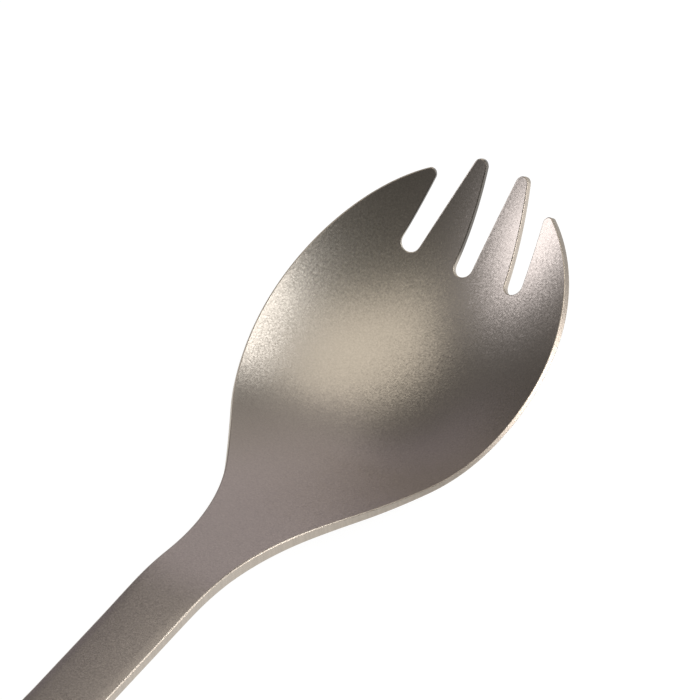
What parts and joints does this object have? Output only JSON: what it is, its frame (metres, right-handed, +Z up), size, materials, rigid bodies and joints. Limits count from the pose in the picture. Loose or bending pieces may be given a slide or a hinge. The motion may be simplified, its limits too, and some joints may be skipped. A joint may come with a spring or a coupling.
{
  "type": "spork",
  "caption": "Pressed titanium camping spork: oval bowl with slotted tines, narrow neck and long arched handle with a hanging hole.",
  "frame": {"origin": "bottom centre of the bounding box, on the surface that the bowl and the handle end rest on", "axes": "+Y along the spork towards the tines, +Z up out of the bowl as it lies at rest, X across"},
  "size_m": [0.0386, 0.1624, 0.0194],
  "materials": {
    "titanium": "bead-blasted titanium, satin warm grey"
  },
  "bodies": {
    "root": {"bowl": "titanium", "tine_1": "titanium", "tine_2": "titanium", "tine_3": "titanium", "tine_4": "titanium", "neck": "titanium", "handle": "titanium"}
  },
  "joints": []
}
